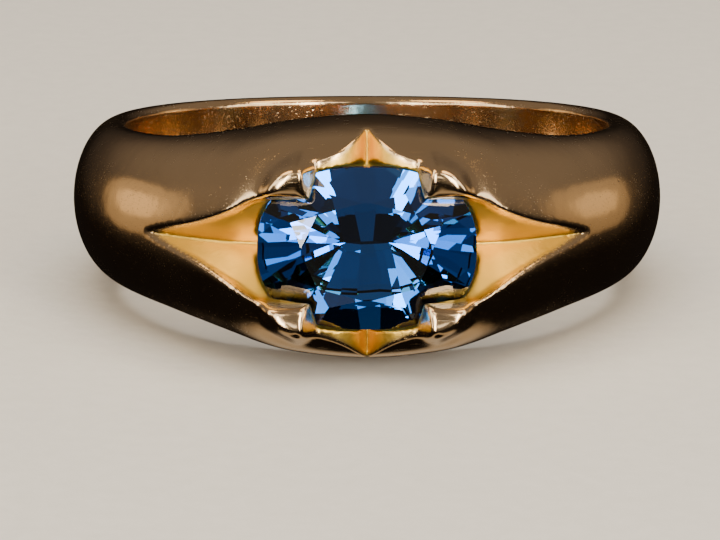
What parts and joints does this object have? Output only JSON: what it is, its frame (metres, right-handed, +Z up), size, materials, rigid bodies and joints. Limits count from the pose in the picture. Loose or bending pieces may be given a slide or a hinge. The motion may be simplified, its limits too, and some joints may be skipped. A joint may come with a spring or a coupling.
{
  "type": "sapphire ring",
  "caption": "Tapering gold ring with a faceted oval sapphire, held by claws carved out of the band between scooped hollows.",
  "frame": {"origin": "centre of the base of the box that holds the ring, on the surface that it lies on", "axes": "+Z up from that surface, +Y from the stone to the back of the ring, +X across the finger hole"},
  "size_m": [0.0228, 0.0249, 0.009],
  "materials": {
    "gold": "polished",
    "sapphire": "faceted, polished"
  },
  "bodies": {
    "root": {"band": "gold", "sapphire": "sapphire"}
  },
  "joints": []
}
